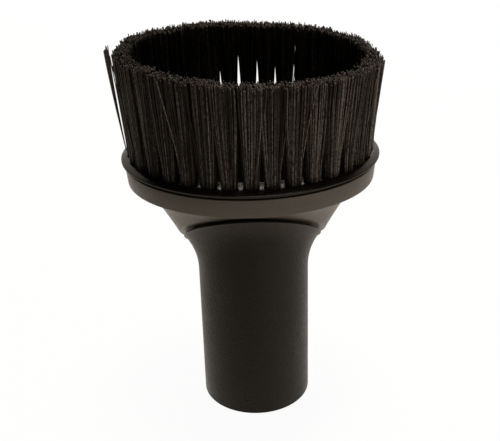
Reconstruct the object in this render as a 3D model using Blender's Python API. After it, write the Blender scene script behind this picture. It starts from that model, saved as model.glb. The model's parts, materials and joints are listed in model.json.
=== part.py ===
"""Vacuum dusting brush: an oval head of bristle tufts that swivels on a straight tube connector.

The part stands on the tube's open end. +Z runs up the tube to the bristles and +X along the
oval's long axis. The swivel's plane is slanted: its high side faces -Y and its low side +Y.
All sizes are in metres.
"""
import math

import bmesh
import bpy
from mathutils import Matrix, Vector

# Tube connector: a straight socket that a wand pushes into, as far as an inner stop
TUBE_RADIUS = 0.0185
TUBE_WALL = 0.0025
SOCKET_DEPTH = 0.038
STOP_STEP = 0.0008
STOP_LENGTH = 0.0012
TUBE_EDGE = 0.0003

# Slanted swivel between the connector and the head
SWIVEL_RISE = 0.0241
SWIVEL_FORWARD = 0.003
SWIVEL_TILT = math.radians(36.8)
COLLAR_RADIUS = 0.0222
COLLAR_EDGE = 0.0008
SWIVEL_GAP = 0.0009
HEAD_FOOT_OVERHANG = 0.0017
HEAD_FOOT_EDGE = 0.0003
FLARE_LENGTH = 0.0125
FLARE_POWER = 2.5
FLARE_SHARES = (0.0, 0.3, 0.5, 0.66, 0.8, 0.9)
COLLAR_LEDGE = 0.0028
SPIGOT_WALL = 0.0022
SPIGOT_HEIGHT = 0.005
SNAP_LIP_DEPTH = 0.0009
SNAP_LIP_THICKNESS = 0.0014
RUNNING_CLEARANCE = 0.0003

# Oval of tufts and the ring that carries them
HEAD_RISE = 0.0289
TUFT_RING_HALF_LENGTH = 0.0367
TUFT_RING_HALF_WIDTH = 0.0301
TUFT_COUNT = 34
TUFT_FOOT_RADIUS = 0.0019
TUFT_HOLE_CLEARANCE = 0.0005
RING_LIP_OUT = 0.0044
RING_LIP_HEIGHT = 0.0008
RING_THICKNESS = 0.0024
RING_SHOULDER = 0.0019
RING_LAND_IN = 0.0034
RING_EDGE = 0.0003
DRILL_DEPTH = 0.0072
SKIRT_WALL = 0.0009
SKIRT_DEPTH = 0.0052

# Head shell: a funnel from the swivel to the dish under the ring
RIM_OVERHANG = 0.001
RIM_WALL = 0.0011
BAND_HEIGHT = 0.0061
BAND_TAPER = 0.0006
BAND_CORNER = 0.0006
FUNNEL_STEP_IN = 0.0038
FUNNEL_SHARES = (0.35, 0.7)
CHANNEL_DEPTH = 0.0040
SOCKET_LAND = 0.0014
SEAT_GAP = 0.0003

# Bristles: each tuft leans out and fans out from its foot until it meets its neighbours
BRISTLE_LENGTH = 0.0322
TRIM_SLOPE = 0.039
END_FALL = 0.0020
END_FALL_POWER = 6
TUFT_GAP = 0.00035
TUFT_LEAN_OUT = 0.0017
TUFT_FLARE_OUT = 0.0027
FOOT_CLEARANCE = 0.0003
TIP_RAGGEDNESS = 0.0008
FLUTE = 0.84
# Shares of the bristles' length at which a tuft is shaped, the last where it meets its neighbours
TUFT_LEVELS = (0.22, 0.44, 0.64)
# A full tuft's outline, in shares of its half-width and half-depth: a flute down each face
TUFT_BLOCK = (
    (1.0, 0.45), (0.55, 1.0), (0.0, FLUTE), (-0.55, 1.0), (-1.0, 0.45),
    (-1.0, -0.45), (-0.55, -1.0), (0.0, -FLUTE), (0.55, -1.0), (1.0, -0.45),
)

# Fineness of the round pieces
SHELL_SIDES = 52
RING_SIDES = 2 * TUFT_COUNT
HOLE_SIDES = 12
ARC_SAMPLES = 1440
SHARP_ANGLE = math.radians(35.0)
# How far a rounded corner's middle stands in from the sharp one, as a share of its radius
CORNER_CUT = 1.0 - math.cos(math.radians(45.0))

# Places that follow from the sizes above
BORE_RADIUS = TUBE_RADIUS - TUBE_WALL
SWIVEL_AXIS = Vector((0.0, math.sin(SWIVEL_TILT), math.cos(SWIVEL_TILT)))
SWIVEL_CENTRE = Vector((0.0, -SWIVEL_FORWARD, SOCKET_DEPTH + SWIVEL_RISE))
SPIGOT_RADIUS = COLLAR_RADIUS - COLLAR_LEDGE
HEAD_FOOT_RADIUS = COLLAR_RADIUS + HEAD_FOOT_OVERHANG
RING_TOP = SWIVEL_CENTRE.z + HEAD_RISE
RING_UNDERSIDE = RING_TOP - RING_THICKNESS
RIM_TOP = RING_UNDERSIDE - SEAT_GAP
CHANNEL_FLOOR = RIM_TOP - CHANNEL_DEPTH
DISH_BOTTOM = RIM_TOP - BAND_HEIGHT
BAND_OUT = RING_LIP_OUT - RIM_OVERHANG
HOLE_RADIUS = TUFT_FOOT_RADIUS + TUFT_HOLE_CLEARANCE
TIP_REACH = TUFT_RING_HALF_LENGTH + TUFT_LEAN_OUT + TUFT_FLARE_OUT

# Colours and how matt each material is
PLASTIC_COLOUR = (0.022, 0.020, 0.018, 1.0)
PLASTIC_ROUGHNESS = 0.5
RING_ROUGHNESS = 0.42
BRISTLE_COLOUR = (0.012, 0.011, 0.010, 1.0)
BRISTLE_ROUGHNESS = 0.55


def principled(name, colour, roughness):
    """One plain plastic, ready for every piece that is made of it."""
    material = bpy.data.materials.new(name)
    material.use_nodes = True
    shader = material.node_tree.nodes["Principled BSDF"]
    shader.inputs["Base Color"].default_value = colour
    shader.inputs["Roughness"].default_value = roughness
    shader.inputs["Metallic"].default_value = 0.0
    material.diffuse_color = colour
    return material


def level_ring(half_length, half_width, height, forward=0.0, tilt=0.0):
    """An ellipse seen from above, its plane tilted up towards -Y, counted from the front."""
    ring = []
    for step in range(SHELL_SIDES):
        angle = 2.0 * math.pi * step / SHELL_SIDES
        reach = half_width * math.cos(angle)
        place = (half_length * math.sin(angle), -forward - reach, height + reach * math.tan(tilt))
        ring.append(Vector(place))
    return ring


def swivel_ring(radius, lift):
    """A circle round the swivel's axis, lifted along it from the connector's collar."""
    centre = SWIVEL_CENTRE + SWIVEL_AXIS * lift
    half_width = radius * math.cos(SWIVEL_TILT)
    return level_ring(radius, half_width, centre.z, -centre.y, SWIVEL_TILT)


def between(lower, upper, share):
    """The ring that lies a share of the way along the straight lines from one to the other."""
    return [low.lerp(high, share) for low, high in zip(lower, upper)]


def oval(outwards, height):
    """An ellipse a given distance outside the line of the tufts, with even sides beside each."""
    ring = []
    for step in range(RING_SIDES):
        ring.append(ring_place((step + 0.5) / RING_SIDES, outwards, height))
    return ring


def shell_oval(outwards, height):
    """The same oval, in the head shell's own number of sides."""
    half_length = TUFT_RING_HALF_LENGTH + outwards
    half_width = TUFT_RING_HALF_WIDTH + outwards
    return level_ring(half_length, half_width, height)


def tuft_ring_shares():
    """Angles that share the oval of tufts into equal lengths of arc, from the front round by +X."""
    angles = [2.0 * math.pi * step / ARC_SAMPLES for step in range(ARC_SAMPLES + 1)]
    lengths = [0.0]
    for first, second in zip(angles, angles[1:]):
        along_x = TUFT_RING_HALF_LENGTH * (math.sin(second) - math.sin(first))
        along_y = TUFT_RING_HALF_WIDTH * (math.cos(second) - math.cos(first))
        lengths.append(lengths[-1] + math.hypot(along_x, along_y))
    return angles, lengths


ARC_ANGLES, ARC_LENGTHS = tuft_ring_shares()
TUFT_PITCH = ARC_LENGTHS[-1] / TUFT_COUNT


def ring_angle(share):
    """The ellipse's angle at a share of its way round, measured along the arc."""
    target = (share % 1.0) * ARC_LENGTHS[-1]
    low, high = 0, ARC_SAMPLES
    while high - low > 1:
        middle = (low + high) // 2
        if ARC_LENGTHS[middle] <= target:
            low = middle
        else:
            high = middle
    part = (target - ARC_LENGTHS[low]) / (ARC_LENGTHS[high] - ARC_LENGTHS[low])
    return ARC_ANGLES[low] + part * (ARC_ANGLES[high] - ARC_ANGLES[low])


def ring_place(share, outwards, height):
    """A point beside the line of the tufts: a share of the way round, and so far outside it."""
    angle = ring_angle(share)
    along_x = (TUFT_RING_HALF_LENGTH + outwards) * math.sin(angle)
    along_y = -(TUFT_RING_HALF_WIDTH + outwards) * math.cos(angle)
    return Vector((along_x, along_y, height))


def finish_mesh(name, mesh_builder, material, collection):
    """Turns a bmesh into a smooth-shaded object of the brush's collection."""
    bmesh.ops.recalc_face_normals(mesh_builder, faces=mesh_builder.faces)
    mesh = bpy.data.meshes.new(name)
    mesh_builder.to_mesh(mesh)
    mesh_builder.free()
    mesh.materials.append(material)
    mesh.shade_smooth()
    mesh.set_sharp_from_angle(angle=SHARP_ANGLE)
    piece = bpy.data.objects.new(name, mesh)
    collection.objects.link(piece)
    return piece


def loft_wall(name, rings, material, collection):
    """A wall round an opening: rings up the outside and down the inside, joined in a loop."""
    builder = bmesh.new()
    loops = [[builder.verts.new(place) for place in ring] for ring in rings]
    for lower, upper in zip(loops, loops[1:] + loops[:1]):
        for step in range(len(lower)):
            following = (step + 1) % len(lower)
            builder.faces.new((lower[step], lower[following], upper[following], upper[step]))
    return finish_mesh(name, builder, material, collection)


def flare_ring(share):
    """A ring of the connector's flare, from the tube (0) to the collar under the swivel (1)."""
    growth = share ** FLARE_POWER
    collar_half_width = COLLAR_RADIUS * math.cos(SWIVEL_TILT)
    half_length = TUBE_RADIUS + (COLLAR_RADIUS - TUBE_RADIUS) * growth
    half_width = TUBE_RADIUS + (collar_half_width - TUBE_RADIUS) * growth
    height = SWIVEL_CENTRE.z - FLARE_LENGTH * (1.0 - share)
    return level_ring(half_length, half_width, height, SWIVEL_FORWARD * growth, SWIVEL_TILT)


def make_connector(material, collection):
    """Tube, flare, collar and snap spigot in one moulding, open from end to end."""
    stop_radius = BORE_RADIUS - STOP_STEP
    inner_radius = SPIGOT_RADIUS - SPIGOT_WALL
    lip_radius = SPIGOT_RADIUS + SNAP_LIP_DEPTH
    lip_bottom = SPIGOT_HEIGHT - SNAP_LIP_THICKNESS
    lip_middle = SPIGOT_HEIGHT - 0.5 * SNAP_LIP_THICKNESS
    stop_top = level_ring(stop_radius, stop_radius, SOCKET_DEPTH + STOP_LENGTH)
    spigot_foot = swivel_ring(inner_radius, 0.0)
    outside = [
        level_ring(TUBE_RADIUS - TUBE_EDGE, TUBE_RADIUS - TUBE_EDGE, 0.0),
        level_ring(TUBE_RADIUS, TUBE_RADIUS, TUBE_EDGE),
    ]
    outside += [flare_ring(share) for share in FLARE_SHARES]
    collar_cut = CORNER_CUT * COLLAR_EDGE
    collar = [
        swivel_ring(COLLAR_RADIUS, -COLLAR_EDGE),
        swivel_ring(COLLAR_RADIUS - collar_cut, -collar_cut),
        swivel_ring(COLLAR_RADIUS - COLLAR_EDGE, 0.0),
        swivel_ring(SPIGOT_RADIUS, 0.0),
        swivel_ring(SPIGOT_RADIUS, lip_bottom),
        swivel_ring(lip_radius, lip_bottom),
        swivel_ring(lip_radius, lip_middle),
        swivel_ring(SPIGOT_RADIUS, SPIGOT_HEIGHT),
    ]
    inside = [
        swivel_ring(inner_radius, SPIGOT_HEIGHT),
        spigot_foot,
        between(spigot_foot, stop_top, 0.5),
        stop_top,
        level_ring(stop_radius, stop_radius, SOCKET_DEPTH),
        level_ring(BORE_RADIUS, BORE_RADIUS, SOCKET_DEPTH),
        level_ring(BORE_RADIUS, BORE_RADIUS, TUBE_EDGE),
        level_ring(BORE_RADIUS + TUBE_EDGE, BORE_RADIUS + TUBE_EDGE, 0.0),
    ]
    return loft_wall("connector_neck", outside + collar + inside, material, collection)


def make_head_shell(material, collection):
    """Funnel and dish in one moulding: it snaps over the spigot and holds the bristle ring."""
    socket_radius = SPIGOT_RADIUS + RUNNING_CLEARANCE
    groove_radius = socket_radius + SNAP_LIP_DEPTH
    groove_bottom = SPIGOT_HEIGHT - SNAP_LIP_THICKNESS - RUNNING_CLEARANCE
    groove_top = SPIGOT_HEIGHT + RUNNING_CLEARANCE
    opening_out = -RING_LAND_IN + SKIRT_WALL + RUNNING_CLEARANCE
    band_foot_out = BAND_OUT - BAND_TAPER
    corner_cut = CORNER_CUT * BAND_CORNER
    funnel_foot = swivel_ring(HEAD_FOOT_RADIUS, SWIVEL_GAP + HEAD_FOOT_EDGE)
    funnel_top = shell_oval(band_foot_out - BAND_CORNER - FUNNEL_STEP_IN, DISH_BOTTOM)
    outside = [swivel_ring(HEAD_FOOT_RADIUS - HEAD_FOOT_EDGE, SWIVEL_GAP), funnel_foot]
    outside += [between(funnel_foot, funnel_top, share) for share in FUNNEL_SHARES]
    outside += [
        funnel_top,
        shell_oval(band_foot_out - BAND_CORNER, DISH_BOTTOM),
        shell_oval(band_foot_out - corner_cut, DISH_BOTTOM + corner_cut),
        shell_oval(band_foot_out, DISH_BOTTOM + BAND_CORNER),
        shell_oval(BAND_OUT, RIM_TOP),
    ]
    land_bottom = shell_oval(opening_out, CHANNEL_FLOOR - SOCKET_LAND)
    passage = swivel_ring(socket_radius, groove_top + RUNNING_CLEARANCE)
    inside = [
        shell_oval(BAND_OUT - RIM_WALL, RIM_TOP),
        shell_oval(BAND_OUT - RIM_WALL, CHANNEL_FLOOR),
        shell_oval(opening_out, CHANNEL_FLOOR),
        land_bottom,
        between(land_bottom, passage, 0.5),
        passage,
        swivel_ring(groove_radius, groove_top),
        swivel_ring(groove_radius, groove_bottom),
        swivel_ring(socket_radius, groove_bottom),
        swivel_ring(socket_radius, SWIVEL_GAP),
    ]
    return loft_wall("head_shell", outside + inside, material, collection)


def make_hole_cutter(collection):
    """Upright drills through the ring, one at each tuft, in one hidden cutter."""
    builder = bmesh.new()
    for number in range(TUFT_COUNT):
        share = number / TUFT_COUNT
        place = ring_place(share, 0.0, RING_TOP - 0.5 * RING_THICKNESS)
        turn = ring_angle(share) + math.pi / HOLE_SIDES
        bmesh.ops.create_cone(
            builder, cap_ends=True, segments=HOLE_SIDES, radius1=HOLE_RADIUS,
            radius2=HOLE_RADIUS, depth=DRILL_DEPTH,
            matrix=Matrix.Translation(place) @ Matrix.Rotation(turn, 4, "Z"))
    mesh = bpy.data.meshes.new("hole_cutter")
    builder.to_mesh(mesh)
    builder.free()
    cutter = bpy.data.objects.new("hole_cutter", mesh)
    collection.objects.link(cutter)
    cutter.hide_render = True
    cutter.display_type = "WIRE"
    return cutter


def make_bristle_ring(material, collection, cutter_collection):
    """Domed oval ring with an overhanging lip, a locating skirt and a hole for each tuft."""
    lip_top = RING_UNDERSIDE + RING_LIP_HEIGHT
    dome_out = RING_LIP_OUT - CORNER_CUT * RING_SHOULDER
    dome_top = RING_TOP - CORNER_CUT * (RING_TOP - lip_top)
    skirt_in = -RING_LAND_IN
    skirt_out = skirt_in + SKIRT_WALL
    skirt_bottom = RING_UNDERSIDE - SKIRT_DEPTH
    rings = [
        oval(RING_LIP_OUT - RING_EDGE, RING_UNDERSIDE),
        oval(RING_LIP_OUT, RING_UNDERSIDE + RING_EDGE),
        oval(RING_LIP_OUT, lip_top),
        oval(dome_out, dome_top),
        oval(RING_LIP_OUT - RING_SHOULDER, RING_TOP),
        oval(skirt_in + RING_EDGE, RING_TOP),
        oval(skirt_in, RING_TOP - RING_EDGE),
        oval(skirt_in, skirt_bottom),
        oval(skirt_out, skirt_bottom),
        oval(skirt_out, RING_UNDERSIDE),
    ]
    ring = loft_wall("bristle_ring", rings, material, collection)
    drill = ring.modifiers.new("tuft_holes", "BOOLEAN")
    drill.operation = "DIFFERENCE"
    drill.solver = "EXACT"
    drill.object = make_hole_cutter(cutter_collection)
    return ring


def tuft_section(share, climb, height, ragged=0.0):
    """A tuft's outline a share of the way up its bristles, from its round foot to a fluted block.

    It follows the oval, so it is wedge-shaped like the room between its neighbours."""
    half_width = 0.5 * (TUFT_PITCH - TUFT_GAP)
    opening = min(1.0, climb / TUFT_LEVELS[-1])
    section = []
    for step, (block_side, block_out) in enumerate(TUFT_BLOCK):
        angle = 2.0 * math.pi * (step + 0.5) / len(TUFT_BLOCK)
        round_side = TUFT_FOOT_RADIUS * math.cos(angle)
        round_out = TUFT_FOOT_RADIUS * math.sin(angle)
        sideways = round_side + (block_side * half_width - round_side) * opening
        tip_out = TUFT_LEAN_OUT + block_out * TUFT_FLARE_OUT
        outwards = round_out + (tip_out - round_out) * climb
        place = ring_place(share + sideways / ARC_LENGTHS[-1], outwards, height)
        if ragged:
            end_fall = END_FALL * (place.x / TIP_REACH) ** END_FALL_POWER
            place.z -= TRIM_SLOPE * place.x + end_fall + ragged * (step % 2)
        section.append(place)
    return section


def make_tuft(number, material, collection):
    """One tuft: a round foot fused in its hole, fanning out to the trimmed tips."""
    share = number / TUFT_COUNT
    sections = [tuft_section(share, 0.0, CHANNEL_FLOOR + FOOT_CLEARANCE)]
    sections += [
        tuft_section(share, climb, RING_TOP + BRISTLE_LENGTH * climb)
        for climb in (0.0,) + TUFT_LEVELS
    ]
    tips = tuft_section(share, 1.0, RING_TOP + BRISTLE_LENGTH, TIP_RAGGEDNESS)
    sections.append(tips)
    builder = bmesh.new()
    loops = [[builder.verts.new(place) for place in section] for section in sections]
    sides = len(TUFT_BLOCK)
    for lower, upper in zip(loops, loops[1:]):
        for step in range(sides):
            following = (step + 1) % sides
            builder.faces.new((lower[step], lower[following], upper[following], upper[step]))
    builder.faces.new(loops[0])
    crown = builder.verts.new(sum(tips, Vector()) / sides)
    for step in range(sides):
        builder.faces.new((loops[-1][step], loops[-1][(step + 1) % sides], crown))
    return finish_mesh(f"tuft_{number + 1:02d}", builder, material, collection)


def main():
    """Builds the brush: the connector stands still and the head turns round head_swivel."""
    for old in list(bpy.data.objects):
        bpy.data.objects.remove(old, do_unlink=True)
    brush = bpy.data.collections.new("vacuum_dusting_brush")
    cutters = bpy.data.collections.new("cutters")
    bpy.context.scene.collection.children.link(brush)
    bpy.context.scene.collection.children.link(cutters)
    plastic = principled("shell_plastic", PLASTIC_COLOUR, PLASTIC_ROUGHNESS)
    ring_plastic = principled("ring_plastic", PLASTIC_COLOUR, RING_ROUGHNESS)
    bristle = principled("bristle_nylon", BRISTLE_COLOUR, BRISTLE_ROUGHNESS)

    swivel = bpy.data.objects.new("head_swivel", None)
    swivel.location = SWIVEL_CENTRE
    brush.objects.link(swivel)
    make_connector(plastic, brush)
    head = [make_head_shell(plastic, brush), make_bristle_ring(ring_plastic, brush, cutters)]
    head += [make_tuft(number, bristle, brush) for number in range(TUFT_COUNT)]
    bpy.context.view_layer.update()
    for piece in head:
        piece.parent = swivel
        piece.matrix_parent_inverse = swivel.matrix_world.inverted()


main()
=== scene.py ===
"""Dresses the dusting brush: its tube, its funnel head, the drilled ring and every bristle."""
import json
import math
from collections import namedtuple
from functools import partial

import bpy
import numpy as np
from bpy.props import FloatProperty, FloatVectorProperty, IntProperty, PointerProperty
from mathutils import Matrix, Vector


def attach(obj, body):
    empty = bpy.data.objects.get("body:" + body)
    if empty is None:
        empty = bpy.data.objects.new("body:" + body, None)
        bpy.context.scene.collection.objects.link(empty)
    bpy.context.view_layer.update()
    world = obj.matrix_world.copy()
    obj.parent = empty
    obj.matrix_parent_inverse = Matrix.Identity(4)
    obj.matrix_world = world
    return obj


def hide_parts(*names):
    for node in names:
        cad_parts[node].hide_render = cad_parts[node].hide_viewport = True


bl_info = {
    "name": "Vacuum Dusting Brush",
    "version": (1, 0, 0),
    "blender": (4, 5, 0),
    "location": "3D View > Sidebar > Dusting Brush",
    "description": "Models the shells, the drilled ring and the bristles of a dusting brush",
    "category": "Object",
}

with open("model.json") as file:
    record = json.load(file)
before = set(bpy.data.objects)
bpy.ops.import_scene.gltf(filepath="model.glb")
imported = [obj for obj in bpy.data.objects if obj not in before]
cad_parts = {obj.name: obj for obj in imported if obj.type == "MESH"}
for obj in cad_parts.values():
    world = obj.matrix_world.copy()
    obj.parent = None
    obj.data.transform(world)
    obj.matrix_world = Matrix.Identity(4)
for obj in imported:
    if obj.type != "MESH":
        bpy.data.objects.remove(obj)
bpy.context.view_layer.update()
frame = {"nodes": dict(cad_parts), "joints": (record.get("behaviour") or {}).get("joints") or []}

# The slanted swivel, as the frame's joint has it
SWIVEL_CENTRE = Vector(frame["joints"][0]["pos_m"])
SWIVEL_AXIS = Vector(frame["joints"][0]["axis"]).normalized()
SWIVEL_TILT = math.atan2(SWIVEL_AXIS.y, SWIVEL_AXIS.z)
TUFT_NODES = sorted(name for name in frame["nodes"] if name.startswith("tuft_"))

# Corners of each round section, and steps of the curves from section to section
TUBE_SIDES = 144
FUNNEL_SIDES = 192
RING_SIDES = 204
DRILL_SIDES = 28
FILAMENT_SIDES = 4
FLARE_STEPS = 26
RIM_STEPS = 6
FUNNEL_STEPS = 12
PASSAGE_STEPS = 8
SLOPE_STEPS = 6
# Edges that turn by more than this are rounded
SHARP_ANGLE = math.radians(32.0)
# The turn from one filament to the next that fills a round hole evenly
GOLDEN_TURN = math.pi * (3.0 - math.sqrt(5.0))
# Samples of the arc along the line of the tufts
ARC_SAMPLES = 1440

WHITE = (1.0, 1.0, 1.0, 1.0)
# Tint of the shine on the plastics and the nylon
WARM_SHINE = (1.0, 0.92, 0.83, 1.0)
# How far the plastics' colour and roughness vary from spot to spot
MOTTLE = 0.12
SHINE_SPREAD = 0.05
# Brightness against the plain plastic: painted shade inside the head, and painted light on the
# flare under the collar
INSIDE_PAINTED_SHADE = 0.12
COLLAR_PAINTED_LIGHT = 3.0
# Heights over the collar's plane between which the painted light grows
COLLAR_PAINTED_LIGHT_HEIGHTS = (-0.0065, -0.0005)
# The darkest and the palest filament against the nylon's colour
STRAND_SHADES = (0.35, 7.0)
# Height of the painted shadow on the tufts' feet, and what it leaves of their tone
FOOT_PAINTED_SHADOW = 0.0022
FOOT_PAINTED_SHADE = 0.1

# A section of a shell, the place of a tuft on the oval, and what is drawn for its filaments
Ring = namedtuple("Ring", "centre half_length half_width tilt")
Spot = namedtuple("Spot", "along pitch x left back front")
Filaments = namedtuple("Filaments", "foot tip bend lean drop tone cut")


def length(name, description, default):
    """A size in metres for the sidebar."""
    return FloatProperty(
        name=name, description=description, default=default, unit="LENGTH", precision=5)


def amount(name, description, default):
    """A plain number for the sidebar."""
    return FloatProperty(name=name, description=description, default=default)


def colour(name, description, default):
    """A linear colour for the sidebar."""
    return FloatVectorProperty(
        name=name, description=description, default=default, subtype="COLOR", size=3,
        min=0.0, max=1.0)


class ConnectorSettings(bpy.types.PropertyGroup):
    """Sizes and colour of the tube that a wand pushes into."""

    tube_radius: length("Tube radius", "Outside radius of the straight tube", 0.0185)
    tube_wall: length("Tube wall", "Thickness of the tube's wall", 0.0025)
    socket_depth: length("Socket depth", "How far a wand goes in, to the inner stop", 0.038)
    stop_step: length("Stop step", "How far the inner stop stands in from the bore", 0.0008)
    stop_length: length("Stop length", "Height of the inner stop's straight part", 0.0012)
    flare_length: length("Flare length", "Height of the flare under the collar", 0.0146)
    flare_power: amount("Flare curve", "How late the flare opens out", 2.0)
    collar_radius: length("Collar radius", "Outside radius of the slanted collar", 0.0226)
    spigot_radius: length("Spigot radius", "Outside radius of the hidden snap spigot", 0.0194)
    spigot_wall: length("Spigot wall", "Thickness of the snap spigot", 0.0022)
    spigot_height: length("Spigot height", "How far the snap spigot goes into the head", 0.005)
    lip_depth: length("Snap lip depth", "How far the snap lip stands out", 0.0009)
    lip_height: length("Snap lip height", "Height of the snap lip", 0.0014)
    edge_radius: length("Edge radius", "Rounding of the moulded edges", 0.0003)
    rim_radius: length("Rim radius", "Rounding of the collar's rim", 0.0008)
    plastic: colour("Plastic", "Colour of the tube's grained plastic", (0.0068, 0.0060, 0.0046))


class HeadSettings(bpy.types.PropertyGroup):
    """Sizes and colour of the funnel and the dish on it."""

    foot_radius: length("Foot radius", "Outside radius of the foot over the swivel", 0.0239)
    swivel_gap: length("Swivel gap", "Running gap between collar and foot", 0.0009)
    running_clearance: length("Clearance", "Room round the hidden spigot", 0.0003)
    funnel_step_in: length("Funnel step", "How far the funnel stands in under the band", 0.0044)
    rim_overhang: length("Rim overhang", "How far the ring's lip stands over the band", 0.001)
    rim_wall: length("Rim wall", "Thickness of the dish's upright wall", 0.0011)
    band_height: length("Band height", "Height of the dish's upright band", 0.0061)
    band_taper: length("Band taper", "How much narrower the band is at its foot", 0.0006)
    channel_depth: length("Channel depth", "Depth of the channel under the ring", 0.0040)
    socket_land: length("Socket land", "Height of the wall round the opening", 0.0014)
    seat_gap: length("Seat gap", "Gap between the band and the ring on it", 0.0003)
    edge_radius: length("Edge radius", "Rounding of the moulded edges", 0.00035)
    plastic: colour("Plastic", "Colour of the head's smooth plastic", (0.060, 0.0525, 0.0440))


class RingSettings(bpy.types.PropertyGroup):
    """Sizes and colour of the oval ring that carries the tufts."""

    half_length: length("Half length", "Half the long axis of the line of tufts", 0.0367)
    half_width: length("Half width", "Half the short axis of the line of tufts", 0.0301)
    rise: length("Rise", "Height of the ring's top over the swivel's centre", 0.0289)
    lip_out: length("Lip out", "How far the lip stands outside the line of tufts", 0.0044)
    lip_height: length("Lip height", "Height of the lip's upright edge", 0.0004)
    lip_rise: length("Lip rise", "Height of the shadow groove under the lip", 0.0010)
    lip_groove: length("Lip groove", "Depth of the shadow groove under the lip", 0.0015)
    thickness: length("Thickness", "Thickness of the ring", 0.0024)
    shoulder: length("Shoulder", "Width of the top's sloping edge", 0.0028)
    land_in: length("Land in", "How far the ring reaches inside the line of tufts", 0.0034)
    skirt_wall: length("Skirt wall", "Thickness of the locating skirt", 0.0009)
    skirt_depth: length("Skirt depth", "Depth of the locating skirt", 0.0052)
    hole_radius: length("Hole radius", "Radius of the hole round each tuft", 0.0024)
    edge_radius: length("Edge radius", "Rounding of the moulded edges", 0.0002)
    plastic: colour("Plastic", "Colour of the ring's satin plastic", (0.0060, 0.0051, 0.0041))


class BristleSettings(bpy.types.PropertyGroup):
    """Sizes and colour of the tufts' filaments."""

    count: IntProperty(
        name="Filaments", description="Filaments in each tuft", default=240, min=20, max=800)
    filament_radius: length("Filament radius", "Radius of one filament", 0.00015)
    foot_radius: length("Foot radius", "Radius of a tuft where it leaves its hole", 0.0021)
    bristle_length: length("Length", "Height of the bristles over the ring", 0.0321)
    trim_slope: amount("Trim slope", "Fall of the tips towards +X", 0.041)
    end_fall: length("End fall", "How much lower the tips are at both ends", 0.0016)
    lean_out: length("Lean", "How far outside its foot a tuft's tip stands", 0.0017)
    front_lean: length("Front lean", "How much further the tips at the front lean", 0.0005)
    front_cut: length("Front cut", "How much shorter the bristles at the front are", 0.0007)
    flare_out: length("Flare", "Half the depth of a tuft at its tips", 0.0026)
    meet: amount("Meeting height", "Share of the length where tufts meet", 0.68)
    back_meet: amount("Back meeting height", "Share of the length where back tufts meet", 0.84)
    ragged: length("Raggedness", "Spread of the tips' heights", 0.00038)
    stray_share: amount("Strays", "Share of the filaments that stand off", 0.05)
    seed: IntProperty(name="Seed", description="Start of the random draws", default=11)
    nylon: colour("Nylon", "Colour of the filaments", (0.0176, 0.0152, 0.0131))
    # The cut ends' colour is partly their own paler colour and partly a painted highlight
    cut_end: colour("Cut ends", "Colour of the filaments' cut tips", (0.250, 0.210, 0.178))


class StudioSettings(bpy.types.PropertyGroup):
    """The pale floor, the soft lamps and the camera."""

    floor: colour("Floor", "Colour of the floor and the sweep behind it", (0.90, 0.90, 0.90))
    floor_size: length("Floor size", "Side of the floor", 6.0)
    background: amount("Background", "Brightness of the surroundings as seen", 1.03)
    ambient: amount("Ambient", "Light from all round on matt surfaces", 0.35)
    light: colour("Light", "Colour of the light on the brush", (1.0, 0.91, 0.81))
    floor_light: amount("Floor light", "Share of the floor's light that is even all over it", 0.5)
    overhead: amount("Overhead", "Share of the surroundings' light overhead", 0.05)
    left_side: amount("Left side", "Share of the surroundings' light at the left", 0.07)
    camera_height: length("Camera height", "Height of the camera", 0.2031)
    camera_distance: length("Camera distance", "How far the camera stands off", 0.2756)
    lens: amount("Lens", "Focal length in mm", 66.87)


def level_ring(half_length, half_width, height):
    """A level ellipse about the brush's upright axis."""
    return Ring(Vector((0.0, 0.0, height)), half_length, half_width, 0.0)


def tuft_oval(size, outwards, height):
    """A level ellipse that runs so far outside the line of the tufts."""
    return level_ring(size.half_length + outwards, size.half_width + outwards, height)


def swivel_ring(radius, lift):
    """A circle round the swivel's axis, lifted along it from the collar."""
    return Ring(SWIVEL_CENTRE + SWIVEL_AXIS * lift, radius, radius, SWIVEL_TILT)


def between(lower, upper, share):
    """The ring a share of the way along the straight lines from one to the other."""
    seen_width = (1.0 - share) * lower.half_width * math.cos(lower.tilt)
    seen_width += share * upper.half_width * math.cos(upper.tilt)
    slant = (1.0 - share) * lower.half_width * math.sin(lower.tilt)
    slant += share * upper.half_width * math.sin(upper.tilt)
    half_length = (1.0 - share) * lower.half_length + share * upper.half_length
    centre = lower.centre.lerp(upper.centre, share)
    return Ring(centre, half_length, math.hypot(seen_width, slant), math.atan2(slant, seen_width))


def turn_loop(tilt, centre):
    """Tilts the selected loop up towards -Y."""
    bpy.ops.transform.rotate(
        value=tilt, orient_axis="X", orient_type="GLOBAL", center_override=centre)


def loft(name, sides, rings):
    """Models a wall by extruding a loop of edges from ring to ring, then bridging it shut."""
    bpy.ops.object.select_all(action="DESELECT")
    bpy.ops.mesh.primitive_circle_add(vertices=sides, radius=1.0, fill_type="NOTHING")
    piece = bpy.context.object
    piece.name = name
    bpy.ops.object.mode_set(mode="EDIT")
    bpy.ops.mesh.select_mode(type="EDGE")
    bpy.ops.mesh.select_all(action="SELECT")
    first = rings[0]
    bpy.ops.transform.translate(value=first.centre)
    bpy.ops.transform.resize(
        value=(first.half_length, first.half_width, 1.0), center_override=first.centre)
    turn_loop(first.tilt, first.centre)
    for last, ring in zip(rings, rings[1:]):
        bpy.ops.mesh.extrude_region_move(
            TRANSFORM_OT_translate={"value": ring.centre - last.centre})
        turn_loop(-last.tilt, ring.centre)
        shape = (ring.half_length / last.half_length, ring.half_width / last.half_width, 1.0)
        bpy.ops.transform.resize(value=shape, center_override=ring.centre)
        turn_loop(ring.tilt, ring.centre)
    bpy.ops.mesh.select_all(action="DESELECT")
    bpy.ops.mesh.select_non_manifold()
    bpy.ops.mesh.bridge_edge_loops()
    bpy.ops.mesh.select_all(action="SELECT")
    bpy.ops.mesh.normals_make_consistent(inside=False)
    bpy.ops.object.mode_set(mode="OBJECT")
    return piece


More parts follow.
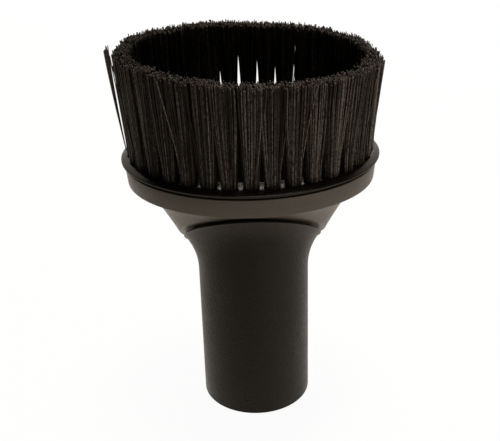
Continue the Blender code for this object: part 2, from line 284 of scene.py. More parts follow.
def select_only(piece):
    """Selects one piece and makes it the active one."""
    bpy.ops.object.select_all(action="DESELECT")
    piece.select_set(True)
    bpy.context.view_layer.objects.active = piece


def apply_modifier(piece, modifier):
    """Makes a modifier part of the piece's own mesh."""
    bpy.context.view_layer.objects.active = piece
    bpy.ops.object.modifier_apply(modifier=modifier.name)


def round_edges(piece, radius, segments=3):
    """Rounds the moulded edges and smooths the shading between them."""
    bevel = piece.modifiers.new("rounded_edges", "BEVEL")
    bevel.width = radius
    bevel.segments = segments
    bevel.limit_method = "ANGLE"
    bevel.angle_limit = SHARP_ANGLE
    bevel.use_clamp_overlap = True
    apply_modifier(piece, bevel)
    select_only(piece)
    bpy.ops.object.shade_smooth_by_angle(angle=SHARP_ANGLE)


def mark_inside_for_painted_shade(piece):
    """Marks the faces that look inwards, which the plastic darkens as painted shade."""
    inner = piece.data.attributes.new("inner_side", "FLOAT", "FACE")
    for face, mark in zip(piece.data.polygons, inner.data):
        facing = face.normal.x * face.center.x + face.normal.y * face.center.y
        mark.value = 1.0 if facing < 0.0 else 0.0


def dress(piece, material, body, slot, *nodes):
    """Gives a finished piece its material and its body, and hides the nodes that it stands for. The
    slot is not used.
    """
    piece.data.materials.clear()
    piece.data.materials.append(material)
    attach(piece, body)
    if nodes:
        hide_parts(*nodes)


def shade(base, factor=1.0):
    """A socket's colour, brighter or darker than the base by a factor."""
    return tuple(min(1.0, factor * channel) for channel in base) + (1.0,)


def add_node(tree, kind, place, **values):
    """A shader node with its named properties and sockets set."""
    node = tree.nodes.new(kind)
    node.location = place
    for key, value in values.items():
        if hasattr(node, key):
            setattr(node, key, value)
        else:
            node.inputs[key.replace("_", " ")].default_value = value
    return node


def add_mix(tree, place, share, first, second):
    """The blend from one colour to another, each of them a link or a value of its own."""
    node = add_node(tree, "ShaderNodeMix", place, data_type="RGBA")
    for number, source in ((0, share), (6, first), (7, second)):
        if isinstance(source, bpy.types.NodeSocket):
            tree.links.new(source, node.inputs[number])
        else:
            node.inputs[number].default_value = source
    return node.outputs[2]


def add_math(tree, place, operation, first, second):
    """The result of a sum on two linked numbers."""
    node = add_node(tree, "ShaderNodeMath", place, operation=operation)
    tree.links.new(first, node.inputs[0])
    tree.links.new(second, node.inputs[1])
    return node.outputs[0]


def add_range(tree, place, value, **limits):
    """A linked number, scaled from one range to another."""
    node = add_node(tree, "ShaderNodeMapRange", place, **limits)
    tree.links.new(value, node.inputs["Value"])
    return node.outputs["Result"]


def add_noise(tree, place, vector, **values):
    """Soft noise over the linked coordinates."""
    node = add_node(tree, "ShaderNodeTexNoise", place, **values)
    tree.links.new(vector, node.inputs["Vector"])
    return node.outputs["Fac"]


def new_material(name):
    """An empty node material with its tree and its principled shader."""
    material = bpy.data.materials.new(name)
    material.use_nodes = True
    tree = material.node_tree
    return material, tree, tree.nodes["Principled BSDF"]


def moulded_plastic(name, base, roughness, specular, grain_scale, grain_depth):
    """Black moulded plastic: a fine spark-eroded grain, with slight mottling and handling shine,
    and painted shade on the faces marked as inside.
    """
    material, tree, shader = new_material(name)
    shader.inputs["Specular IOR Level"].default_value = specular
    shader.inputs["Specular Tint"].default_value = WARM_SHINE
    place = add_node(tree, "ShaderNodeTexCoord", (-1300, 0)).outputs["Object"]
    grain = add_noise(
        tree, (-1000, -250), place, Scale=grain_scale, Detail=3.0, Roughness=0.6)
    bump = add_node(tree, "ShaderNodeBump", (-300, -350), Strength=1.0, Distance=grain_depth)
    mottling = add_noise(tree, (-1000, 300), place, Scale=95.0, Detail=4.0, Roughness=0.55)
    tint = add_mix(
        tree, (-600, 300), mottling, shade(base, 1.0 - MOTTLE), shade(base, 1.0 + MOTTLE))
    inner = add_node(tree, "ShaderNodeAttribute", (-600, 600), attribute_name="inner_side")
    # Painted shade: faces marked as inside are darkened
    unlit = add_mix(tree, (-300, 450), inner.outputs["Fac"], tint, shade(base, INSIDE_PAINTED_SHADE))
    shine = add_range(
        tree, (-600, 0), mottling, From_Min=0.3, From_Max=0.7,
        To_Min=roughness - SHINE_SPREAD, To_Max=roughness + SHINE_SPREAD)
    tree.links.new(grain, bump.inputs["Height"])
    tree.links.new(bump.outputs["Normal"], shader.inputs["Normal"])
    tree.links.new(unlit, shader.inputs["Base Color"])
    tree.links.new(shine, shader.inputs["Roughness"])
    return material


def paint_light_under_collar(material, base):
    """Paler plastic towards the slanted collar: painted light on the top of the flare under it."""
    tree = material.node_tree
    shader = tree.nodes["Principled BSDF"]
    plain = shader.inputs["Base Color"].links[0].from_socket
    place = add_node(tree, "ShaderNodeTexCoord", (-1300, 900))
    offset = add_node(tree, "ShaderNodeVectorMath", (-1100, 900), operation="SUBTRACT")
    offset.inputs[1].default_value = SWIVEL_CENTRE
    height = add_node(tree, "ShaderNodeVectorMath", (-900, 900), operation="DOT_PRODUCT")
    height.inputs[1].default_value = SWIVEL_AXIS
    tree.links.new(place.outputs["Object"], offset.inputs[0])
    tree.links.new(offset.outputs["Vector"], height.inputs[0])
    # Painted light: the flare grows paler towards the collar
    lit_share = add_range(
        tree, (-700, 900), height.outputs["Value"], interpolation_type="SMOOTHSTEP",
        From_Min=COLLAR_PAINTED_LIGHT_HEIGHTS[0], From_Max=COLLAR_PAINTED_LIGHT_HEIGHTS[1])
    lit_collar_colour = add_mix(tree, (-150, 600), lit_share, plain, shade(base, COLLAR_PAINTED_LIGHT))
    tree.links.new(lit_collar_colour, shader.inputs["Base Color"])


def bristle_nylon(settings):
    """Black nylon: each filament a slightly different tone, with painted shadow on the feet, and
    paler cut ends that are partly their own colour and partly painted highlight.
    """
    material, tree, shader = new_material("bristle_nylon")
    shader.inputs["Specular IOR Level"].default_value = 0.06
    shader.inputs["Specular Tint"].default_value = WARM_SHINE
    shader.inputs["Roughness"].default_value = 0.38
    # The strands' tone carries the painted light and shade of the tufts
    tone = add_node(tree, "ShaderNodeAttribute", (-1100, 200), attribute_name="strand_tone_and_painted_light")
    tip = add_node(tree, "ShaderNodeAttribute", (-1100, -100), attribute_name="strand_tip")
    place = add_node(tree, "ShaderNodeTexCoord", (-1500, 500)).outputs["Object"]
    patches = add_noise(tree, (-1300, 500), place, Scale=1500.0, Detail=2.0)
    varied = add_range(
        tree, (-1100, 500), patches, From_Min=0.35, From_Max=0.65, To_Min=0.2, To_Max=1.8)
    split = add_node(tree, "ShaderNodeSeparateXYZ", (-1500, 800))
    tree.links.new(place, split.inputs[0])
    foot = SWIVEL_CENTRE.z + settings.id_data.brush_ring.rise
    # Painted shadow: the nylon darkens towards the ring at the tufts' feet
    shaded = add_range(
        tree, (-1100, 800), split.outputs["Z"], From_Min=foot, From_Max=foot + FOOT_PAINTED_SHADOW,
        To_Min=FOOT_PAINTED_SHADE, To_Max=1.0)
    fading = add_math(tree, (-900, 600), "MULTIPLY", shaded, varied)
    mottled = add_math(tree, (-900, 350), "MULTIPLY", fading, tone.outputs["Fac"])
    darkest, palest = (shade(settings.nylon, factor) for factor in STRAND_SHADES)
    strand = add_mix(tree, (-700, 250), mottled, darkest, palest)
    # The cut ends are paler: partly their own colour, partly a painted highlight
    ends = add_mix(tree, (-400, 100), tip.outputs["Fac"], strand, shade(settings.cut_end))
    tree.links.new(ends, shader.inputs["Base Color"])
    return material


class BRUSH_OT_connector(bpy.types.Operator):
    """Models the tube connector: socket, flare, slanted collar and snap spigot"""

    bl_idname = "dusting_brush.connector"
    bl_label = "Tube connector"

    def flare(self, size, share):
        """A ring of the flare, from the tube (0) to the collar's rim (1)."""
        growth = share ** size.flare_power
        collar_width = size.collar_radius * math.cos(SWIVEL_TILT)
        half_length = size.tube_radius + (size.collar_radius - size.tube_radius) * growth
        seen_width = size.tube_radius + (collar_width - size.tube_radius) * growth
        height = SWIVEL_CENTRE.z - size.flare_length * (1.0 - share)
        centre = Vector((0.0, SWIVEL_CENTRE.y * growth, height))
        return Ring(centre, half_length, seen_width / math.cos(SWIVEL_TILT), SWIVEL_TILT)

    def execute(self, context):
        size = context.scene.brush_connector
        bore = size.tube_radius - size.tube_wall
        stop = bore - size.stop_step
        passage = size.spigot_radius - size.spigot_wall
        lip_bottom = size.spigot_height - size.lip_height
        spigot_foot = swivel_ring(passage, 0.0)
        stop_top = level_ring(stop, stop, size.socket_depth + size.stop_length)
        rings = [level_ring(size.tube_radius, size.tube_radius, 0.0)]
        rings += [self.flare(size, step / FLARE_STEPS) for step in range(FLARE_STEPS - 1)]
        for step in range(1, RIM_STEPS + 1):
            turn = math.radians(90.0 * step / RIM_STEPS)
            inwards = size.rim_radius * (1.0 - math.cos(turn))
            drop = size.rim_radius * (1.0 - math.sin(turn))
            rings.append(swivel_ring(size.collar_radius - inwards, -drop))
        rings += [
            swivel_ring(size.spigot_radius, 0.0),
            swivel_ring(size.spigot_radius, lip_bottom),
            swivel_ring(size.spigot_radius + size.lip_depth, lip_bottom),
            swivel_ring(size.spigot_radius + size.lip_depth, lip_bottom + 0.5 * size.lip_height),
            swivel_ring(size.spigot_radius, size.spigot_height),
            swivel_ring(passage, size.spigot_height),
            spigot_foot,
            between(spigot_foot, stop_top, 0.5),
            stop_top,
            level_ring(stop, stop, size.socket_depth),
            level_ring(bore, bore, size.socket_depth),
            level_ring(bore, bore, 0.0),
        ]
        piece = loft("connector_tube", TUBE_SIDES, rings)
        round_edges(piece, size.edge_radius)
        material = moulded_plastic(
            "grained_black_plastic", size.plastic, roughness=0.31, specular=0.09,
            grain_scale=1700.0, grain_depth=0.00034)
        paint_light_under_collar(material, size.plastic)
        dress(piece, material, "connector", "shell_plastic", "connector_neck")
        return {"FINISHED"}


class BRUSH_OT_head_shell(bpy.types.Operator):
    """Models the head shell: foot over the swivel, funnel, and the dish with its band"""

    bl_idname = "dusting_brush.head_shell"
    bl_label = "Head shell"

    def execute(self, context):
        size = context.scene.brush_head
        tube = context.scene.brush_connector
        ring = context.scene.brush_ring
        oval = partial(tuft_oval, ring)
        rim_top = SWIVEL_CENTRE.z + ring.rise - ring.thickness - size.seat_gap
        floor = rim_top - size.channel_depth
        dish = rim_top - size.band_height
        band = ring.lip_out - size.rim_overhang
        opening = size.running_clearance + ring.skirt_wall - ring.land_in
        socket = tube.spigot_radius + size.running_clearance
        groove = socket + tube.lip_depth
        groove_bottom = tube.spigot_height - tube.lip_height - size.running_clearance
        groove_top = tube.spigot_height + size.running_clearance
        funnel_foot = swivel_ring(size.foot_radius, size.swivel_gap)
        funnel_top = oval(band - size.band_taper - size.funnel_step_in, dish)
        land_bottom = oval(opening, floor - size.socket_land)
        throat = swivel_ring(socket, groove_top + size.running_clearance)
        rings = [funnel_foot]
        for step in range(1, FUNNEL_STEPS):
            rings.append(between(funnel_foot, funnel_top, step / FUNNEL_STEPS))
        rings += [
            funnel_top,
            oval(band - size.band_taper, dish),
            oval(band - 0.5 * size.band_taper, dish + 0.5 * size.band_height),
            oval(band, rim_top),
            oval(band - size.rim_wall, rim_top),
            oval(band - size.rim_wall, floor),
            oval(opening, floor),
            land_bottom,
        ]
        for step in range(1, PASSAGE_STEPS):
            rings.append(between(land_bottom, throat, step / PASSAGE_STEPS))
        rings += [
            throat,
            swivel_ring(groove, groove_top),
            swivel_ring(groove, groove_bottom),
            swivel_ring(socket, groove_bottom),
            swivel_ring(socket, size.swivel_gap),
        ]
        piece = loft("head_funnel", FUNNEL_SIDES, rings)
        round_edges(piece, size.edge_radius)
        mark_inside_for_painted_shade(piece)
        material = moulded_plastic(
            "smooth_black_plastic", size.plastic, roughness=0.34, specular=0.16,
            grain_scale=1500.0, grain_depth=0.00016)
        dress(piece, material, "head", "shell_plastic", "head_shell")
        return {"FINISHED"}


def tuft_line(ring):
    """Angles and lengths of arc along the line of the tufts, from the front round by +X."""
    angles = np.linspace(0.0, 2.0 * math.pi, ARC_SAMPLES + 1)
    steps = np.hypot(
        ring.half_length * np.diff(np.sin(angles)), ring.half_width * np.diff(np.cos(angles)))
    return angles, np.concatenate(([0.0], np.cumsum(steps)))


def tuft_pitch(ring):
    """The way along their line from one tuft to the next."""
    return tuft_line(ring)[1][-1] / len(TUFT_NODES)


def beside_line(ring, along, outwards):
    """Places (x, y) beside the line of the tufts: so far along it, and so far outside it."""
    angles, lengths = tuft_line(ring)
    angle = np.interp(np.mod(along, lengths[-1]), lengths, angles)
    x = (ring.half_length + outwards) * np.sin(angle)
    y = -(ring.half_width + outwards) * np.cos(angle)
    return x, y


class BRUSH_OT_bristle_ring(bpy.types.Operator):
    """Models the oval ring: lip, shoulder, locating skirt and a drilled hole for each tuft"""

    bl_idname = "dusting_brush.bristle_ring"
    bl_label = "Bristle ring"

    # How much the top's sloping edge swells over a straight slope
    swell = 0.35

    def drill(self, size, top):
        """One cutter that holds an upright drill for each tuft."""
        bpy.ops.object.select_all(action="DESELECT")
        pitch = tuft_pitch(size)
        drills = []
        for number in range(len(TUFT_NODES)):
            x, y = beside_line(size, number * pitch, 0.0)
            bpy.ops.mesh.primitive_cylinder_add(
                vertices=DRILL_SIDES, radius=size.hole_radius, depth=3.0 * size.thickness,
                location=(x, y, top - 0.5 * size.thickness))
            drills.append(bpy.context.object)
        for drill in drills:
            drill.select_set(True)
        bpy.ops.object.join()
        cutter = bpy.context.object
        bpy.ops.object.transform_apply(location=True, rotation=True, scale=True)
        return cutter

    def execute(self, context):
        size = context.scene.brush_ring
        oval = partial(tuft_oval, size)
        top = SWIVEL_CENTRE.z + size.rise
        underside = top - size.thickness
        lip_bottom = underside + size.lip_rise
        lip_top = lip_bottom + size.lip_height
        rings = [
            oval(size.lip_out - size.lip_groove, underside),
            oval(size.lip_out - size.lip_groove, lip_bottom),
            oval(size.lip_out, lip_bottom),
            oval(size.lip_out, lip_top),
        ]
        for step in range(1, SLOPE_STEPS):
            share = step / SLOPE_STEPS
            climb = (top - lip_top) * share * (1.0 + self.swell * (1.0 - share))
            rings.append(oval(size.lip_out - size.shoulder * share, lip_top + climb))
        rings += [
            oval(size.lip_out - size.shoulder, top),
            oval(-size.land_in, top),
            oval(-size.land_in, underside - size.skirt_depth),
            oval(size.skirt_wall - size.land_in, underside - size.skirt_depth),
            oval(size.skirt_wall - size.land_in, underside),
        ]
        piece = loft("bristle_plate", RING_SIDES, rings)
        cutter = self.drill(size, top)
        holes = piece.modifiers.new("tuft_holes", "BOOLEAN")
        holes.operation = "DIFFERENCE"
        holes.solver = "EXACT"
        holes.object = cutter
        apply_modifier(piece, holes)
        bpy.data.objects.remove(cutter, do_unlink=True)
        round_edges(piece, size.edge_radius, segments=2)
        material = moulded_plastic(
            "satin_black_plastic", size.plastic, roughness=0.27, specular=0.18,
            grain_scale=1500.0, grain_depth=0.00001)
        dress(piece, material, "head", "ring_plastic", "bristle_ring")
        return {"FINISHED"}


def model_filaments(name, size, count, levels):
    """Models one closed filament of unit height and lays copies of it side by side in a row."""
    bpy.ops.object.select_all(action="DESELECT")
    bpy.ops.mesh.primitive_circle_add(
        vertices=FILAMENT_SIDES, radius=size.filament_radius, fill_type="NGON")
    piece = bpy.context.object
    piece.name = name
    bpy.ops.object.mode_set(mode="EDIT")
    bpy.ops.mesh.select_mode(type="FACE")
    bpy.ops.mesh.select_all(action="SELECT")
    for lower, upper in zip(levels, levels[1:]):
        bpy.ops.mesh.extrude_region_move(
            TRANSFORM_OT_translate={"value": (0.0, 0.0, upper - lower)})
    bpy.ops.mesh.select_all(action="SELECT")
    bpy.ops.mesh.normals_make_consistent(inside=False)
    bpy.ops.object.mode_set(mode="OBJECT")
    row = piece.modifiers.new("row", "ARRAY")
    row.count = count
    row.use_relative_offset = False
    row.use_constant_offset = True
    row.constant_offset_displace = (1.0, 0.0, 0.0)
    apply_modifier(piece, row)
    select_only(piece)
    bpy.ops.object.shade_smooth()
    return piece


def read_row(piece):
    """Each vertex's filament, its share of the height and its place on the filament's section."""
    points = np.empty(len(piece.data.vertices) * 3, np.float32)
    piece.data.vertices.foreach_get("co", points)
    points = points.reshape(-1, 3).astype(float)
    which = np.rint(points[:, 0]).astype(int)
    return which, points[:, 2], points[:, 0] - which, points[:, 1]


def cut_ends(climb):
    """Marks the vertices of the filaments' cut ends."""
    return (climb > 0.99).astype(float)


def write_strands(piece, points, tone, tip):
    """Puts the vertices in their places, and keeps each vertex's tone, with any painted light and
    shade, and its tip for the nylon.
    """
    piece.data.vertices.foreach_set("co", points.astype(np.float32).ravel())
    for name, values in (("strand_tone_and_painted_light", tone), ("strand_tip", tip)):
        attribute = piece.data.attributes.new(name, "FLOAT", "POINT")
        attribute.data.foreach_set("value", values.astype(np.float32))
    piece.data.update()


class BRUSH_OT_tufts(bpy.types.Operator):
    """Models the filaments of every tuft, fanned out from its hole until it meets its neighbours"""

    bl_idname = "dusting_brush.tufts"
    bl_label = "Bristle tufts"

    # Shares of a filament's height at which it can bend
    levels = (0.0, 0.16, 0.34, 0.52, 0.72, 0.88, 0.985, 1.0)
    # How far a tuft's foot goes down under the ring
    hidden_foot = 0.0035
    # Spreads of a whole tuft's lean and height, and the limits of its width against the pitch
    tuft_lean = 0.00028
    tuft_drop = 0.00010
    tuft_width = (0.94, 1.06)
    # Spreads of the filaments, along the line of the tufts and outwards from it
    tip_spread = (0.00030, 0.00025)
    stray_spread = (0.0016, 0.0007)
    bend_spread = (0.00010, 0.00016)
    # The ripple over a tuft's tips, the drop of odd filaments, and the limits of any drop
    ripple = (0.0003, 0.0004)
    odd_drop = 0.0006
    drop_limits = (-0.0010, 0.0016)
    # How much slimmer the tufts are at the left end, and at the front and the back
    left_slimming = 0.18
    depth_slimming = 0.22
    # How far from its tuft's middle a filament stays until the tufts meet, against the pitch
    reach = 0.55
    # How a tuft spreads along the line (and how much later at the back) and leans outwards
    spread_power = 0.8
    back_power = 0.3
    lean_power = 1.08
    # How suddenly the tips fall at both ends of the oval
    end_power = 20
    # Shapes of the random draws of the filaments' tones and of their cut ends
    tone_draw = (0.6, 2.0)
    cut_draw = (0.6, 0.8)
    # Painted light and shade on the nylon: brightness at the feet, and how much of it goes by the
    # tips, at the left end and at the sides of each foot; and how much the cut ends fade towards
    # both ends of the oval
    painted_foot_light = 1.80
    painted_light_fade = 0.65
    painted_left_shade = 0.55
    painted_side_shade = 0.75
    cut_fade = 0.6

    def spot(self, ring, number):
        """Where a tuft stands on the oval, and how far towards its left, back and front."""
        pitch = tuft_pitch(ring)
        x, y = beside_line(ring, number * pitch, 0.0)
        left = max(0.0, -x / ring.half_length)
        return Spot(
            number * pitch, pitch, x, left, max(0.0, y / ring.half_width),
            max(0.0, -y / ring.half_width))

    def draw_filaments(self, draw, size, spot):
        """Draws each filament's foot in the hole, and its tip, bend, height and tone."""
        count = size.count
        order = np.arange(count)
        radius = np.sqrt((order + 0.5) / count)
        turn = order * GOLDEN_TURN + draw.uniform(0.0, 2.0 * math.pi)
        foot_side = radius * np.cos(turn)
        foot_out = radius * np.sin(turn)
        squaring = radius / np.maximum(np.abs(foot_side), np.abs(foot_out))
        lean = draw.normal(0.0, self.tuft_lean, 2)
        wide = 0.5 * spot.pitch * draw.uniform(*self.tuft_width)
        wide = wide * (1.0 - self.left_slimming * spot.left ** 4)
        deep = size.flare_out * (1.0 - self.depth_slimming * (spot.back + spot.front))
        side = foot_side * squaring * wide + draw.normal(0.0, self.tip_spread[0], count) + lean[0]
        out = size.lean_out + size.front_lean * spot.front + foot_out * squaring * deep
        out = out + draw.normal(0.0, self.tip_spread[1], count)
        stray = draw.uniform(0.0, 1.0, count) < size.stray_share
        side = side + np.where(stray, draw.normal(0.0, self.stray_spread[0], count), 0.0)
        out = out + np.where(stray, draw.normal(0.0, self.stray_spread[1], count), 0.0)
        bend_side = draw.normal(0.0, self.bend_spread[0], count)
        bend_out = draw.normal(0.0, self.bend_spread[1], count)
        drop = draw.normal(0.0, size.ragged, count) + draw.normal(0.0, self.tuft_drop)
        start = draw.uniform(0.0, 2.0 * math.pi, 2)
        wave = np.sin(side / self.ripple[0] + start[0])
        drop = drop + size.ragged * wave * np.sin(out / self.ripple[1] + start[1])
        odd = draw.uniform(0.0, 1.0, count) < size.stray_share
        drop = drop + np.where(odd, draw.normal(0.0, self.odd_drop, count), 0.0)
        tone = draw.beta(*self.tone_draw, count)
        cut = draw.beta(*self.cut_draw, count)
        return Filaments(
            (foot_side, foot_out), (side, out), (bend_side, bend_out), lean[1],
            np.clip(drop, *self.drop_limits), tone, cut)

    def fan(self, size, ring, spot, filaments, row):
        """The vertices of one tuft, whose filaments fan out from the hole."""
        which, climb, side, across = row
        foot_side, foot_out = (size.foot_radius * foot[which] for foot in filaments.foot)
        tip_side, tip_out = (tip[which] for tip in filaments.tip)
        bend_side, bend_out = (bend[which] for bend in filaments.bend)
        top = SWIVEL_CENTRE.z + ring.rise
        floor = top - ring.thickness - self.hidden_foot
        meet = size.meet + (size.back_meet - size.meet) * spot.back
        opening = np.minimum(1.0, climb / meet) ** (
            self.spread_power + self.back_power * spot.back)
        settle = np.clip((climb - meet) / (1.0 - meet), 0.0, 1.0)
        bend = np.sin(math.pi * climb)
        far_side = np.clip(tip_side, -self.reach * spot.pitch, self.reach * spot.pitch)
        sideways = foot_side + (far_side - foot_side) * opening + (tip_side - far_side) * settle
        sideways = sideways + bend_side * bend
        outwards = foot_out + (tip_out - foot_out) * climb ** self.lean_power
        outwards = outwards + bend_out * bend + filaments.lean * climb
        x, y = beside_line(ring, spot.along + sideways, outwards)
        end = np.minimum(np.abs(x) / (ring.half_length + size.lean_out + size.flare_out), 1.0)
        # Only the upper half of each filament follows the fall of the tips
        fall = size.trim_slope * x + size.end_fall * end ** self.end_power
        full = size.bristle_length - filaments.drop[which] - fall * (climb > 0.5)
        full = full - size.front_cut * spot.front
        z = np.where(climb <= 0.0, floor, top + full * climb)
        return np.stack((x + side, y + across, z), axis=1)

    def tones(self, ring, spot, filaments, row):
        """Each vertex's tone with its painted light and shade, and how far it shows the filament's
        cut end.
        """
        which, climb = row[:2]
        # Painted shade at the sides of each foot, and painted light at the feet that fades by the
        # tips and at the left end
        painted_rounding_shade = 1.0 - self.painted_side_shade * (filaments.foot[0] ** 2)[which] * (1.0 - climb)
        light = (self.painted_foot_light - self.painted_light_fade * climb) * (1.0 - self.painted_left_shade * spot.left ** 2)
        ends = cut_ends(climb) * filaments.cut[which]
        ends = ends * (1.0 - self.cut_fade * abs(spot.x) / ring.half_length)
        return filaments.tone[which] * painted_rounding_shade * light, ends

    def execute(self, context):
        size = context.scene.brush_bristles
        ring = context.scene.brush_ring
        nylon = bristle_nylon(size)
        pattern = model_filaments("filament_row", size, size.count, self.levels)
        row = read_row(pattern)
        draw = np.random.default_rng(size.seed)
        for number, node in enumerate(TUFT_NODES):
            mesh = pattern.data.copy()
            mesh.name = node.replace("tuft", "bristles")
            piece = bpy.data.objects.new(mesh.name, mesh)
            context.scene.collection.objects.link(piece)
            spot = self.spot(ring, number)
            filaments = self.draw_filaments(draw, size, spot)
            points = self.fan(size, ring, spot, filaments, row)
            write_strands(piece, points, *self.tones(ring, spot, filaments, row))
            dress(piece, nylon, "head", "bristle", node)
        bpy.data.objects.remove(pattern, do_unlink=True)
        return {"FINISHED"}


class BRUSH_OT_stray_bristles(bpy.types.Operator):
    """Models the loose strand that stands off at the left end of the oval"""

    bl_idname = "dusting_brush.stray_bristles"
    bl_label = "Stray bristles"

    count = 9
    levels = (0.0, 0.15, 0.35, 0.55, 0.75, 0.92, 0.985, 1.0)
    # The strand's line, and how far its filaments' tips spread about its tip
    foot = (-0.0395, 0.0, 0.0915)
    middle = (-0.0418, 0.0, 0.1110)
    tip = (-0.0429, 0.0, 0.1249)
    spread = (0.00035, 0.0009, 0.0008)
    tones = (0.9, 2.2)

    def execute(self, context):
        size = context.scene.brush_bristles
        piece = model_filaments("stray_bristles", size, self.count, self.levels)
        which, climb, side, across = read_row(piece)
        draw = np.random.default_rng(size.seed + 1)
        foot, middle, tip = (np.array(place) for place in (self.foot, self.middle, self.tip))
        share = climb[:, None]
        spread = draw.normal(0.0, 1.0, (self.count, 3)) * np.array(self.spread)
        handle = 2.0 * middle - 0.5 * (foot + tip)
        line = (1.0 - share) ** 2 * foot + 2.0 * share * (1.0 - share) * handle
        points = line + share ** 2 * tip + spread[which] * share
        points[:, 0] += side
        points[:, 1] += across
        tone = draw.uniform(*self.tones, self.count)[which]
        write_strands(piece, points, tone, cut_ends(climb))
        dress(piece, bpy.data.materials["bristle_nylon"], "head", "bristle")
        return {"FINISHED"}


def shown_rays(tree):
    """Marks of the camera's own rays, and of these with mirrored and transmitted ones."""
    ray = add_node(tree, "ShaderNodeLightPath", (-900, 400))
    camera_ray = ray.outputs["Is Camera Ray"]
    seen = add_math(tree, (-650, 400), "MAXIMUM", camera_ray, ray.outputs["Is Glossy Ray"])
    shown = add_math(tree, (-450, 400), "MAXIMUM", seen, ray.outputs["Is Transmission Ray"])
    return camera_ray, shown


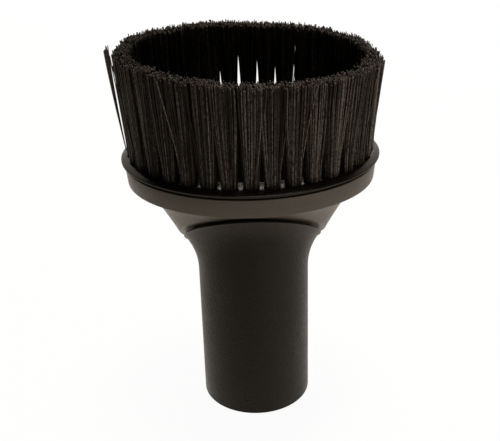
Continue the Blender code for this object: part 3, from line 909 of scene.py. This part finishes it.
class BRUSH_OT_studio(bpy.types.Operator):
    """Sets up the pale floor and sweep, the soft lamps, the surroundings and the camera"""

    bl_idname = "dusting_brush.studio"
    bl_label = "Studio"

    # The backdrop's height and the size of the bend up to it, against the floor's size
    backdrop = 0.6
    curve = 0.15
    # Share of the floor that shows as even white to the camera
    floor_white = 0.93
    # Name, place, width, height and power of each lamp, and the point that they look at
    lamps = (
        ("right_softbox", (0.9, -0.8, 0.06), 0.8, 0.12, 7.0),
        ("top_softbox", (0.1, 0.05, 1.3), 0.35, 0.35, 7.0),
        ("back_softbox", (0.1, 1.1, 0.60), 0.6, 0.4, 5.0),
    )
    aim = (0.0, 0.0, 0.08)
    # Turns of the camera, in radians
    yaw = 0.0026
    pitch = 0.464
    roll = -0.0305

    def sweep(self, settings):
        """A floor whose back edge curves up into a backdrop."""
        bpy.ops.object.select_all(action="DESELECT")
        bpy.ops.mesh.primitive_plane_add(size=settings.floor_size, location=(0.0, 0.0, 0.0))
        floor = bpy.context.object
        floor.name = "studio_sweep"
        bpy.ops.object.mode_set(mode="EDIT")
        bpy.ops.mesh.select_all(action="DESELECT")
        bpy.ops.object.mode_set(mode="OBJECT")
        for edge in floor.data.edges:
            edge.select = all(floor.data.vertices[end].co.y > 0.0 for end in edge.vertices)
        bpy.ops.object.mode_set(mode="EDIT")
        bpy.ops.mesh.select_mode(type="EDGE")
        bpy.ops.mesh.extrude_region_move(
            TRANSFORM_OT_translate={"value": (0.0, 0.0, self.backdrop * settings.floor_size)})
        bpy.ops.object.mode_set(mode="OBJECT")
        bend = floor.modifiers.new("sweep", "BEVEL")
        bend.width = self.curve * settings.floor_size
        bend.segments = 16
        bend.limit_method = "ANGLE"
        apply_modifier(floor, bend)
        select_only(floor)
        bpy.ops.object.shade_smooth()
        floor.data.materials.append(self.paper(settings))

    def paper(self, settings):
        """White paper that keeps the soft shadow on it and shows white behind the brush."""
        material, tree, shader = new_material("white_paper")
        shader.inputs["Base Color"].default_value = shade(settings.floor)
        shader.inputs["Roughness"].default_value = 0.9
        shader.inputs["Specular IOR Level"].default_value = 0.1
        camera_ray, shown = shown_rays(tree)
        share = add_range(
            tree, (-250, 500), shown, To_Min=settings.floor_light, To_Max=self.floor_white)
        tint = add_mix(tree, (-250, 250), camera_ray, shade(settings.light), WHITE)
        glow = add_node(tree, "ShaderNodeEmission", (-50, 250), Strength=settings.background)
        mix = add_node(tree, "ShaderNodeMixShader", (250, 300))
        output = tree.nodes["Material Output"]
        tree.links.new(tint, glow.inputs["Color"])
        tree.links.new(share, mix.inputs[0])
        tree.links.new(shader.outputs[0], mix.inputs[1])
        tree.links.new(glow.outputs[0], mix.inputs[2])
        tree.links.new(mix.outputs[0], output.inputs["Surface"])
        return material

    def surroundings(self, settings):
        """A world that shows white, and lights matt surfaces more gently."""
        world = bpy.data.worlds.new("studio_surroundings")
        bpy.context.scene.world = world
        world.use_nodes = True
        tree = world.node_tree
        back = tree.nodes["Background"]
        camera_ray, shown = shown_rays(tree)
        tint = add_mix(tree, (-250, 550), camera_ray, shade(settings.light), WHITE)
        strength = add_range(
            tree, (-250, 300), shown, To_Min=settings.ambient, To_Max=settings.background)
        way = add_node(tree, "ShaderNodeTexCoord", (-1100, -200))
        split = add_node(tree, "ShaderNodeSeparateXYZ", (-900, -200))
        tree.links.new(way.outputs["Generated"], split.inputs[0])
        overhead = add_range(
            tree, (-700, -100), split.outputs["Z"], From_Min=0.0, From_Max=0.2,
            To_Min=1.0, To_Max=settings.overhead)
        left = add_range(
            tree, (-700, -400), split.outputs["X"], From_Min=-0.5, From_Max=0.4,
            To_Min=settings.left_side, To_Max=1.0)
        dimmed = add_math(tree, (-450, -200), "MULTIPLY", overhead, left)
        open_sky = add_math(tree, (-250, 0), "MAXIMUM", dimmed, camera_ray)
        level = add_math(tree, (-50, 200), "MULTIPLY", strength, open_sky)
        tree.links.new(level, back.inputs["Strength"])
        tree.links.new(tint, back.inputs["Color"])

    def lamp(self, tint, name, place, width, height, power):
        """A soft box that points at the brush."""
        light = bpy.data.lights.new(name, "AREA")
        light.shape = "RECTANGLE"
        light.size = width
        light.size_y = height
        light.energy = power
        light.color = tint
        lamp = bpy.data.objects.new(name, light)
        bpy.context.scene.collection.objects.link(lamp)
        lamp.location = place
        ahead = Vector(self.aim) - Vector(place)
        lamp.rotation_euler = ahead.to_track_quat("-Z", "Y").to_euler()

    def camera(self, settings):
        """The camera in front of the brush, with its slight turn and roll."""
        ahead = Vector((
            -math.sin(self.yaw) * math.cos(self.pitch),
            math.cos(self.yaw) * math.cos(self.pitch),
            -math.sin(self.pitch)))
        right = ahead.cross(Vector((0.0, 0.0, 1.0))).normalized()
        up = right.cross(ahead)
        across = math.cos(self.roll) * right + math.sin(self.roll) * up
        upwards = math.cos(self.roll) * up - math.sin(self.roll) * right
        lens = bpy.data.cameras.new("photo_camera")
        lens.lens = settings.lens
        lens.sensor_width = 36.0
        lens.clip_start = 0.01
        lens.clip_end = 50.0
        camera = bpy.data.objects.new("photo_camera", lens)
        bpy.context.scene.collection.objects.link(camera)
        turn = Matrix((across, upwards, -ahead)).transposed().to_4x4()
        place = Vector((0.0, -settings.camera_distance, settings.camera_height))
        camera.matrix_world = Matrix.Translation(place) @ turn
        bpy.context.scene.camera = camera

    def execute(self, context):
        settings = context.scene.brush_studio
        self.sweep(settings)
        self.surroundings(settings)
        for lamp in self.lamps:
            self.lamp(settings.light, *lamp)
        self.camera(settings)
        context.scene.view_settings.view_transform = "Standard"
        return {"FINISHED"}


class BRUSH_PT_sidebar(bpy.types.Panel):
    """Lists the brush's sizes, colours and steps"""

    bl_idname = "BRUSH_PT_sidebar"
    bl_label = "Dusting Brush"
    bl_space_type = "VIEW_3D"
    bl_region_type = "UI"
    bl_category = "Dusting Brush"

    def draw(self, context):
        for operator, settings in STEPS:
            box = self.layout.box()
            box.operator(operator.bl_idname)
            if settings:
                group = getattr(context.scene, settings)
                for name in group.bl_rna.properties.keys():
                    if name not in ("rna_type", "name"):
                        box.prop(group, name)


GROUPS = {
    "brush_connector": ConnectorSettings,
    "brush_head": HeadSettings,
    "brush_ring": RingSettings,
    "brush_bristles": BristleSettings,
    "brush_studio": StudioSettings,
}
STEPS = (
    (BRUSH_OT_connector, "brush_connector"),
    (BRUSH_OT_head_shell, "brush_head"),
    (BRUSH_OT_bristle_ring, "brush_ring"),
    (BRUSH_OT_tufts, "brush_bristles"),
    (BRUSH_OT_stray_bristles, None),
    (BRUSH_OT_studio, "brush_studio"),
)


def register():
    """Registers the settings, the steps and the sidebar."""
    for name, group in GROUPS.items():
        bpy.utils.register_class(group)
        setattr(bpy.types.Scene, name, PointerProperty(type=group))
    for operator, _settings in STEPS:
        bpy.utils.register_class(operator)
    bpy.utils.register_class(BRUSH_PT_sidebar)


def unregister():
    """Takes the sidebar, the steps and the settings out again."""
    bpy.utils.unregister_class(BRUSH_PT_sidebar)
    for operator, _settings in reversed(STEPS):
        bpy.utils.unregister_class(operator)
    for name, group in GROUPS.items():
        delattr(bpy.types.Scene, name)
        bpy.utils.unregister_class(group)


def main():
    """Models the brush step by step, then sets up the studio."""
    register()
    bpy.ops.dusting_brush.connector()
    bpy.ops.dusting_brush.head_shell()
    bpy.ops.dusting_brush.bristle_ring()
    bpy.ops.dusting_brush.tufts()
    bpy.ops.dusting_brush.stray_bristles()
    bpy.ops.dusting_brush.studio()


if __name__ == "__main__":
    main()
